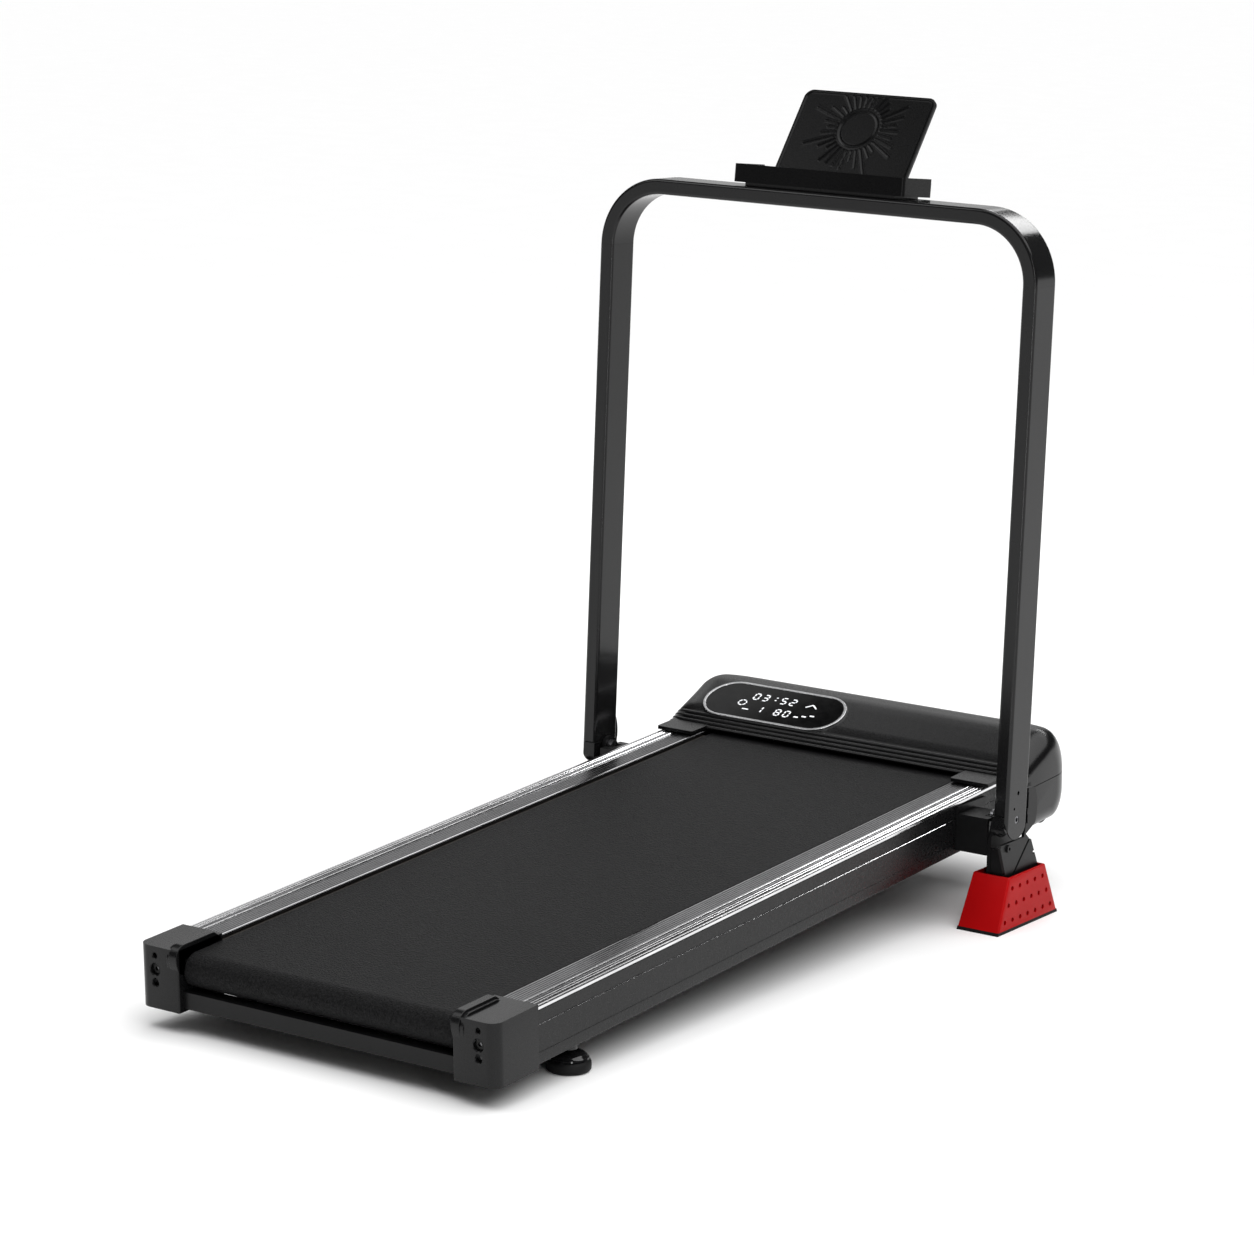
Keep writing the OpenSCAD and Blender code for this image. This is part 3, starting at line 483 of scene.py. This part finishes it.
def end_cap(side, label):
    """Rounded cap on the rear end of a rail, with three holes and a raised double rib."""
    bm = box_mesh((CAP_IN, 0, 0), (CAP_OUT, CAP_LENGTH, CAP_HEIGHT))
    round_edges(bm, lambda a, b: a.x > 250 and b.x > 250 and a.y < 1 and b.y < 1, 14, 10)
    round_edges(bm, lambda a, b: a.x < 193 and b.x < 193 and a.y < 1 and b.y < 1, 2.5, 4)
    for level, radius in ((CAP_HEIGHT, 9), (0, 10)):
        round_edges(bm, lambda a, b: abs(a.z - level) < 0.1 and abs(b.z - level) < 0.1
                    and max(a.x, b.x) > 196 and not (a.x < 193 or b.x < 193)
                    and not (a.y > 77 and b.y > 77), radius, 8)
    holes = []
    for height, radius in CAP_HOLES:
        hole = lathe([(0, -4), (radius + 1, -4), (radius + 1, 0), (radius, 1),
                      (radius, CAP_HOLE_DEEP), (0, CAP_HOLE_DEEP)], 32)
        turn = Matrix.Rotation(-math.pi / 2, 4, "X")
        bmesh.ops.transform(hole, matrix=Matrix.Translation((CAP_HOLE_X, 0, height)) @ turn,
                            verts=hole.verts)
        holes.append(hole)
    ribs = [extruded(rib_outline(5, 3, 76), CAP_IN, CAP_IN + 11.5),
            extruded(rib_outline(2.6, 1.5, 73), CAP_IN + 9, CAP_IN + 16)]
    if side < 0:
        for shape in (bm, *holes, *ribs):
            mirrored(shape)
    cap = new_object("end_cap_" + label + "_shell", bm, DECK, [MATERIALS["part_plastic"]])
    # The hole cutters carry the near-black painted shade onto the faces of the cap's holes
    tools = [new_object("hole", hole, DECK, [MATERIALS["hole_shade"]]) for hole in holes]
    combine(cap, tools, "DIFFERENCE")
    flat_faces(cap, 40)
    placed(cap, "base", "part_plastic", "end_cap_" + label)
    for number, rib in enumerate(ribs):
        part = new_object(f"cap_rib_{label}_{number}", rib, DECK, [MATERIALS["part_plastic"]])
        soften(part, 2.4 - number * 0.8, 4)
        placed(part, "base", "part_plastic")


# ---------------------------------------------------------------- side rails

RAIL_OUT, RAIL_IN, RAIL_REAR, RAIL_END = 248.0, 196.5, 6, 1082


def rail_outline():
    """Cross-section as (X, height, finish) with fine grooves, beads and a side groove; beads, edges and groove get
    painted highlight.
    """
    band, painted_highlight, flank = 0, 1, 2
    points = [(RAIL_IN, BELT_TOP, band), (RAIL_IN, 69.2, band), (RAIL_IN + 0.8, 70, painted_highlight),
              (RAIL_IN + 1.8, 70.2, band)]
    for i in range(6):
        x = RAIL_IN + 4.4 + 4 * i
        points += [(x - 0.5, 70.2, band), (x - 0.3, 69.2, band), (x + 0.3, 69.2, band),
                   (x + 0.6, 70.2, band)]
    # Bead tops, the rail's edges and the side groove take the bright painted-highlight finish
    for x, finish in ((227, painted_highlight), (231.6, band), (236, painted_highlight), (240.4, painted_highlight)):
        points += [(px, py, finish) for px, py in arc(x, 69.4, 2.0, 165, 15, 8)]
    points += [(243.2, 70.2, band), (244.6, 70.6, painted_highlight)]
    points += [(px, py, painted_highlight) for px, py in arc(246.2, 68.9, 1.8, 85, 0, 6)]
    points += [(RAIL_OUT, 66.2, flank), (247.4, 65.9, flank), (247.4, 65.4, flank),
               (RAIL_OUT, 65.1, flank), (RAIL_OUT, 51.6, flank), (246.8, 51.2, flank),
               (246.8, 49.4, painted_highlight), (RAIL_OUT, 48.6, flank), (RAIL_OUT, 18, flank),
               (247.5, 17.7, flank), (247.5, 17.1, flank), (RAIL_OUT, 16.8, flank)]
    points += [(px, py, flank) for px, py in arc(246, 5, 2, 0, -90, 4)]
    points += [(216, 3, flank), (215, 4, flank), (215, BELT_TOP, flank)]
    return points


def side_rail(side, label):
    """One side rail, with a finish for its flat bands, a bright painted highlight on its beads and edges, and one
    for its flank.
    """
    outline = rail_outline()
    bm = extruded([(side * x, z) for x, z, _ in outline], RAIL_REAR, RAIL_END, "Y")
    bm.faces.ensure_lookup_table()
    for face, (_, _, finish) in zip(bm.faces, outline):
        face.material_index = finish
    rail = new_object("side_rail_" + label + "_bar", bm, DECK,
                      [MATERIALS["rail_finish"], MATERIALS["rail_painted_highlight"], MATERIALS["rail_side"]])
    flat_faces(rail, 32)
    placed(rail, "base", "rail_finish", "side_rail_" + label)


# ---------------------------------------------------------------- motor bay

HOOD_HALF, HOOD_WALL = 270.0, 2.5
HOOD_TOP, HOOD_LOW, HOOD_FRONT, HOOD_REAR = 114.0, -10.0, 1248.0, 1076.0
HOOD_SIDE_R, HOOD_FRONT_R, HOOD_REAR_R = 30.0, 64.0, 36.0
HOOD_MID_V, HOOD_MID_W = 1162.0, 52.0
NOSE_R, HOOD_SLOPE = 58.0, math.radians(20)
NOSE_V, NOSE_W = HOOD_FRONT - NOSE_R, HOOD_TOP - NOSE_R
SEAM, SEAM_GAP, LIP_W, REAR_WALL_V = 54.0, 0.45, 71.8, 1098
BELT_WAY_HALF = 251


def slope_height(v):
    """Height of the hood's sloping top at a distance along the deck."""
    return NOSE_W + NOSE_R / math.cos(HOOD_SLOPE) - (NOSE_V - v) * math.tan(HOOD_SLOPE)


def hood_profile(front_in, rear_in, height_in):
    """Side profile (distance, height) with a ridged rear lip, drawn in towards its middle."""
    points = [(REAR_WALL_V, HOOD_LOW + 8), (REAR_WALL_V, 40), (REAR_WALL_V, LIP_W),
              (HOOD_REAR + 1.4, LIP_W), (HOOD_REAR + 0.2, LIP_W + 0.8)]
    for i in range(4):
        back, base = HOOD_REAR + 0.2 + i * 7.3, 73.4 + i * 3.3
        points += arc(back + 2.2, base, 2.6, 170, 80, 4)
        points += [(back + 6.0, base + 2.2), (back + 6.6, base + 1.5)]
    points += [(v, slope_height(v)) for v in (1107, 1122, 1140, 1156)]
    points += arc(NOSE_V, NOSE_W, NOSE_R, 90 + math.degrees(HOOD_SLOPE), 0, 16)
    points += [(HOOD_FRONT, SEAM - 4), (HOOD_FRONT, 40)]
    points += arc(HOOD_FRONT - 40, HOOD_LOW + 40, 40, 0, -90, 10)
    points += [(1150, HOOD_LOW)] + arc(1106, HOOD_LOW + 8, 8, 270, 190, 4)
    ahead = 1 - front_in / (HOOD_FRONT - HOOD_MID_V)
    behind = 1 - rear_in / (HOOD_MID_V - HOOD_REAR)
    high = 1 - height_in / (HOOD_TOP - HOOD_MID_W)
    return [(HOOD_MID_V + (v - HOOD_MID_V) * (ahead if v > HOOD_MID_V else behind),
             HOOD_MID_W + (w - HOOD_MID_W) * high) for v, w in points]


def drawn_in(x, half, radius):
    """How far a rounded corner of a radius stands back at x from the middle."""
    over = max(0.0, abs(x) - (half - radius))
    return radius - math.sqrt(max(0.0, radius * radius - over * over))


def hood_mesh(inset):
    half = HOOD_HALF - inset
    count = 18
    start = half - HOOD_FRONT_R
    right = [start + HOOD_FRONT_R * math.sin(math.pi / 2 * i / count) for i in range(count + 1)]
    loops = []
    for x in [-x for x in reversed(right)] + [-140, -70, 0, 70, 140] + right:
        insets = [inset + 0.92 * drawn_in(x, half, radius)
                  for radius in (HOOD_FRONT_R, HOOD_REAR_R, HOOD_SIDE_R)]
        loops.append([(x, v, w) for v, w in hood_profile(*insets)])
    return loft(loops)


def hood_part(name, low, high):
    """The hood's shell between two heights, open inside and at the belt."""
    shell = new_object(name, hood_mesh(0), DECK, [MATERIALS["shell_plastic"]])
    keep = new_object("keep", box_mesh((-300, 1040, low), (300, 1280, high)), DECK, [])
    combine(shell, [keep], "INTERSECT")
    inner = new_object("inner", hood_mesh(HOOD_WALL), DECK, [])
    way_in = new_object("way_in",
                        box_mesh((-BELT_WAY_HALF, 1040, 4), (BELT_WAY_HALF, 1099, LIP_W)), DECK, [])
    return shell, [inner, way_in]


def pill(wider, low, high, count=20):
    """Flat pill about the display's middle, wider than its lens, between two heights."""
    length, depth = DISPLAY_L + wider, DISPLAY_D + wider
    half = (length - depth) / 2
    outline = arc(half, 0, depth / 2, -90, 90, count) + arc(-half, 0, depth / 2, 90, 270, count)
    return extruded(outline, low, high, "Z")


DISPLAY_X, DISPLAY_V, DISPLAY_L, DISPLAY_D = -127.0, 1136.0, 206.0, 72.0
DISPLAY_MIDDLE = Vector((DISPLAY_X, DISPLAY_V, slope_height(DISPLAY_V)))
DISPLAY = DECK @ Matrix.Translation(DISPLAY_MIDDLE * MM) @ Matrix.Rotation(HOOD_SLOPE, 4, "X")


def motor_bay():
    """Cover, pan, the lugs over the side rails and the display on the cover's slope."""
    cover, tools = hood_part("motor_cover_shell", SEAM + SEAM_GAP, 140)
    well = new_object("well", pill(-8, -6, 6), DISPLAY, [])
    combine(cover, tools + [well], "DIFFERENCE")
    flat_faces(cover, 32)
    placed(cover, "base", "shell_plastic", "motor_cover")
    pan, tools = hood_part("lower_pan_shell", -30, SEAM - SEAM_GAP)
    for side in (-1, 1):
        low, high = sorted((side * 230, side * 251.5))
        well = box_mesh((low, 1164, -20), (high, 1212, 34))
        tools.append(new_object("wheel_well", well, DECK, []))
    for x, half in ((-100, 14), (-144, 10)):
        tools.append(new_object("cut_out", box_mesh((x - half, 1236, 32), (x + half, 1260, 52)),
                                DECK, []))
    combine(pan, tools, "DIFFERENCE")
    flat_faces(pan, 32)
    placed(pan, "base", "shell_plastic", "lower_pan")
    for side, label in ((-1, "left"), (1, "right")):
        outline = [(196.5, 1046), (198, 1043)] + arc(250, 1045, 2, -90, 0, 3) + \
            [(252, 1098), (226, 1098), (214, 1098)] + arc(214, 1080, 17.5, 90, 180, 6)
        lug = extruded([(side * x, v) for x, v in outline], LIP_W, LIP_W + 4.6, "Z")
        part = new_object("rail_lug_" + label, lug, DECK, [MATERIALS["shell_plastic"]])
        soften(part, 1.4, 3)
        placed(part, "base", "shell_plastic")
    ring = new_object("display_pod", pill(11, -12, 0.9), DISPLAY, [MATERIALS["shell_plastic"]])
    combine(ring, [new_object("hollow", pill(-9, -20, 6), DISPLAY, [])], "DIFFERENCE")
    soften(ring, 2.4, 4)
    placed(ring, "base", "shell_plastic")
    rim = new_object("display_rim", pill(7, -2, 3.0), DISPLAY, [MATERIALS["bezel"]])
    combine(rim, [new_object("hollow", pill(-0.6, -8, 6), DISPLAY, [])], "DIFFERENCE")
    soften(rim, 0.8, 3)
    placed(rim, "base", "bezel", "display_bezel")
    pane = new_object("display_pane", pill(-0.8, 0.2, 2.7), DISPLAY, [MATERIALS["lens"]])
    soften(pane, 0.4, 2)
    placed(pane, "base", "lens", "display_lens")
    board = new_object("display_circuit", pill(-16, -8, -6.4), DISPLAY, [MATERIALS["circuit"]])
    soften(board, 0.3, 2)
    placed(board, "base", "circuit", "display_board")


# ---------------------------------------------------------------- display figures

SEGMENTS = {"top": ((0, 2), (1, 2)), "high_left": ((0, 1), (0, 2)), "high_right": ((1, 1), (1, 2)),
            "middle": ((0, 1), (1, 1)), "low_left": ((0, 0), (0, 1)), "low_right": ((1, 0), (1, 1)),
            "bottom": ((0, 0), (1, 0))}
DIGITS = {"0": "top high_left high_right low_left low_right bottom",
          "1": "high_right low_right",
          "2": "top high_right middle low_left bottom",
          "3": "top high_right middle low_right bottom",
          "5": "top high_left middle low_right bottom",
          "8": "top high_left high_right middle low_left low_right bottom"}


def bar_between(bm, start, end, width, low, high):
    """A thin flat bar lying on the display between two points."""
    start, end = Vector(start), Vector(end)
    along = (end - start).normalized()
    across = Vector((-along.y, along.x)) * width / 2
    corners = [start - across, end - across, end + across, start + across]
    lower = [bm.verts.new((*c, low)) for c in corners]
    upper = [bm.verts.new((*c, high)) for c in corners]
    bm.faces.new(list(reversed(lower)))
    bm.faces.new(upper)
    for i in range(4):
        j = (i + 1) % 4
        bm.faces.new((lower[i], lower[j], upper[j], upper[i]))


FIGURE_SCALE = Matrix.Diagonal((1.18, 1.18, 1, 1))


def display_figures():
    """Generic digits and plain marks just above the lens."""
    bm = bmesh.new()
    low, high = 2.72, 3.0
    width, height, stroke = 6.2, 5.4, 1.5

    def digit(figure, x, v):
        for name in DIGITS[figure].split():
            (x0, y0), (x1, y1) = SEGMENTS[name]
            gap = 0.9
            a = Vector((x + x0 * width, v + y0 * height))
            b = Vector((x + x1 * width, v + y1 * height))
            along = (b - a).normalized() * gap
            bar_between(bm, a + along, b - along, stroke, low, high)

    left = -46
    for place, figure in enumerate("03 52"):
        if figure != " ":
            digit(figure, left + 14 + place * 12, 5)
    for v in (9, 14):
        bar_between(bm, (left + 41.5, v), (left + 43.5, v), 1.6, low, high)
    for place, figure in enumerate("1 80"):
        if figure != " ":
            digit(figure, left + 30 + place * 12, -17)
    for i in range(3):
        x = left + 80 + 9 * i
        bar_between(bm, (x, -14 + 3 * i), (x + 5.5, -14 + 3 * i), 2.0, low, high)
    for turn in range(6):
        angle, after = math.tau * turn / 6, math.tau * (turn + 0.75) / 6
        bar_between(bm, (left + 6 + 5 * math.cos(angle), -4 + 5 * math.sin(angle)),
                    (left + 6 + 5 * math.cos(after), -4 + 5 * math.sin(after)),
                    1.4, low, high)
    bar_between(bm, (left + 84, 6), (left + 91, 12), 1.6, low, high)
    bar_between(bm, (left + 91, 12), (left + 98, 6), 1.6, low, high)
    bar_between(bm, (left + 12, -15), (left + 20, -15), 1.6, low, high)
    figures = new_object("display_figures", bm, DISPLAY @ FIGURE_SCALE,
                         [MATERIALS["lit_figures"]], smooth=False)
    placed(figures, "base", "lens")


# ---------------------------------------------------------------- tablet panel

PANEL_W, PANEL_L, PANEL_LEAN = 194.0, 129.0, math.radians(37)
RING_R, RING_UP, RAYS, PANEL_CORNER = 26.0, 76.5, 34, 12
HINGE_V, HINGE_W = 30, 767


def panel_height(x, y):
    """Height of the panel's front face above its back, in mm, at a point of its plane."""
    rim = 3.4
    dx = abs(x) - (PANEL_W / 2 - PANEL_CORNER)
    dy = abs(y - PANEL_L / 2 - 1) - (PANEL_L / 2 - 1 - PANEL_CORNER)
    outside = math.hypot(max(dx, 0), max(dy, 0)) + min(max(dx, dy), 0) - PANEL_CORNER
    height = 5.0
    edge = min(max((-outside - rim) / 0.9, 0), 1)
    height -= 1.1 * edge
    reach = math.hypot(x, y - RING_UP)
    ring = max(0, 1 - abs(reach - RING_R) / 1.9)
    height -= 1.5 * min(1, ring * 1.8) * edge
    lift = max(0, 1 - abs(reach - RING_R - 3.0) / 1.4)
    height += 0.5 * lift
    angle = math.atan2(y - RING_UP, x) / math.tau * RAYS
    nearest = round(angle)
    off = abs(angle - nearest) / RAYS * math.tau * reach
    length = RING_R + 20 + 17 * math.sin(nearest * 2.4) ** 2 + 14 * (nearest % 3 == 0)
    if RING_R + 6 < reach < length:
        groove = min(1, max(0, 1 - off / 1.5) * 2)
        height -= 1.3 * groove * edge
        height += 0.45 * max(0, 1 - abs(off - 2.3) / 0.9) * edge
    return height


def tablet_panel():
    """The tablet panel with its ring and rays pressed in, and its hinge barrel."""
    step = 1.0
    columns, rows = int(PANEL_W / step), int(PANEL_L / step)
    bm = bmesh.new()

    def squeezed(u, v):
        """Grid point pulled inside the panel's rounded corners."""
        x = -PANEL_W / 2 + PANEL_W * u / columns
        y = 1 + (PANEL_L - 1) * v / rows
        dx = abs(x) - (PANEL_W / 2 - PANEL_CORNER)
        dy = y - (PANEL_L - PANEL_CORNER)
        if dx > 0 and dy > 0:
            reach = max(dx, dy)
            scale = reach / math.hypot(dx, dy)
            x = math.copysign(PANEL_W / 2 - PANEL_CORNER + dx * scale, x)
            y = PANEL_L - PANEL_CORNER + dy * scale
        return x, y

    front = [[None] * (rows + 1) for _ in range(columns + 1)]
    for u in range(columns + 1):
        for v in range(rows + 1):
            x, y = squeezed(u, v)
            border = min(u, columns - u, rows - v) if v > 0 else 0
            drop = 2.5 + (0.7 if border == 0 else 0)
            front[u][v] = bm.verts.new((x, y, panel_height(x, y) - drop))
    for u in range(columns):
        for v in range(rows):
            bm.faces.new((front[u][v], front[u + 1][v], front[u + 1][v + 1], front[u][v + 1]))
    rim = [front[u][0] for u in range(columns + 1)] + \
        [front[columns][v] for v in range(1, rows + 1)] + \
        [front[u][rows] for u in range(columns - 1, -1, -1)] + \
        [front[0][v] for v in range(rows - 1, 0, -1)]
    back = [bm.verts.new((vert.co.x, vert.co.y, -2.0)) for vert in rim]
    inner = [bm.verts.new((vert.co.x * 0.994, 1.4 + (vert.co.y - 1) * 0.991, -2.5)) for vert in rim]
    for i in range(len(rim)):
        j = (i + 1) % len(rim)
        bm.faces.new((rim[j], rim[i], back[i], back[j]))
        bm.faces.new((back[j], back[i], inner[i], inner[j]))
    bm.faces.new(inner)
    place = RAIL @ Matrix.Translation((0, HINGE_V * MM, HINGE_W * MM)) @ \
        Matrix.Rotation(math.pi / 2 - PANEL_LEAN + LEAN, 4, "X")
    panel = new_object("tablet_panel_plate", bm, place, [MATERIALS["tray_plastic"]])
    flat_faces(panel, 50)
    placed(panel, "panel", "tray_plastic", "tablet_panel")
    barrel = lathe([(0, -PANEL_W / 2), (3.4, -PANEL_W / 2), (4, -PANEL_W / 2 + 0.6),
                    (4, PANEL_W / 2 - 0.6), (3.4, PANEL_W / 2), (0, PANEL_W / 2)], 32)
    hinge = new_object("panel_barrel", barrel, place @ Matrix.Rotation(math.pi / 2, 4, "Y"),
                       [MATERIALS["tray_plastic"]])
    flat_faces(hinge, 40)
    placed(hinge, "panel", "tray_plastic")


# ---------------------------------------------------------------- block feet

FOOT_X, FOOT_V, FOOT_HIGH, SOLE = 304.5, 1006.5, 68.0, 4.0
# Height and number of the holes in each row
FOOT_ROWS = ((54, 5), (34, 6), (14, 7))
HOLE_R, HOLE_PITCH = 3.1, 19


def foot_loop(height, inset):
    """The four corners of a tapering block foot at a height."""
    share = height / FOOT_HIGH
    half_v = (151 - 59 * share) / 2 - inset
    half_x = (59 - 7 * share) / 2 - inset
    return [(FOOT_X + x * half_x, FOOT_V + v * half_v, height)
            for x, v in ((-1, -1), (1, -1), (1, 1), (-1, 1))]


def block_foot(side, label):
    """Hollow tapering foot with rows of round holes in its outer face."""
    shapes = [loft([foot_loop(SOLE, 0), foot_loop(FOOT_HIGH, 0)]),
              loft([foot_loop(SOLE + 4, 3), foot_loop(FOOT_HIGH + 1, 3)])]
    round_edges(shapes[0], lambda a, b: abs(a.z - b.z) > 30, 2.6, 4)
    round_edges(shapes[0], lambda a, b: min(a.z, b.z) > FOOT_HIGH - 0.1, 1.2, 3)
    for height, count in FOOT_ROWS:
        for i in range(count):
            hole = lathe([(0, 15), (HOLE_R, 15), (HOLE_R, 40), (0, 40)], 20)
            along = FOOT_V + HOLE_PITCH * (i - (count - 1) / 2)
            shift = Matrix.Translation((FOOT_X, along, height))
            bmesh.ops.transform(hole, matrix=shift @ Matrix.Rotation(math.pi / 2, 4, "Y"),
                                verts=hole.verts)
            shapes.append(hole)
    if side < 0:
        for shape in shapes:
            mirrored(shape)
    foot = new_object("foot_" + label + "_shell", shapes[0], FLOOR, [MATERIALS["foot_red"]])
    # The hole cutters carry the near-black painted shade onto the faces of the foot's holes
    tools = [new_object("tool", shape, FLOOR, [MATERIALS["hole_shade"]]) for shape in shapes[1:]]
    combine(foot, tools, "DIFFERENCE")
    flat_faces(foot, 35)
    placed(foot, "base", "foot_red", "foot_" + label)


# ---------------------------------------------------------------- levelling feet

def levelling_foot(label):
    """Round rubber pad under a domed nut with a threaded stud."""
    low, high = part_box("level_pad_" + label)
    middle = (low + high) / 2
    place = Matrix.Translation((middle.x, middle.y, 0))
    pad = [(0, 0), (20, 0), (23.5, 0.8), (25.3, 3), (25.5, 6), (25.3, 10.5), (24.2, 12.6),
           (22, 13.6), (0, 13.6)]
    base = new_object("level_pad_" + label + "_rubber", lathe(pad, 64), place,
                      [MATERIALS["rubber"]])
    flat_faces(base, 45)
    placed(base, "level_" + label, "rubber", "level_pad_" + label)
    dome = [(0, 13.6), (22.4, 13.6), (23.2, 14.6), (22.6, 16.4)]
    dome += [(21.6 * math.cos(math.radians(a)), 15.5 + 9.5 * math.sin(math.radians(a)))
             for a in range(10, 71, 10)]
    dome += [(9.5, 25.4), (9.5, 30.8), (8.6, 31.6), (4.6, 31.6)]
    for i in range(13):
        dome += [(4.6, 32.2 + 2 * i), (4.0, 33.2 + 2 * i)]
    dome += [(4.0, 58.2), (0, 58.2)]
    stud = new_object("level_stud_" + label + "_turned", lathe(dome, 64), place,
                      [MATERIALS["stud_finish"]])
    flat_faces(stud, 30)
    placed(stud, "level_" + label, "stud_finish", "level_stud_" + label)


# Nodes whose visible finish is darker than their slot's usual one
FINISH = {"tension_bolts": "dark_bolt"}

make_camera()
MATERIALS = make_materials()
make_studio()
for node_name, node in NODES.items():
    node.data.materials.clear()
    node.data.materials.append(MATERIALS[FINISH.get(node_name, SLOT_OF[node_name])])
for side, label in ((-1, "left"), (1, "right")):
    end_cap(side, label)
    side_rail(side, label)
    levelling_foot(label)
    block_foot(side, label)
motor_bay()
display_figures()
tablet_panel()
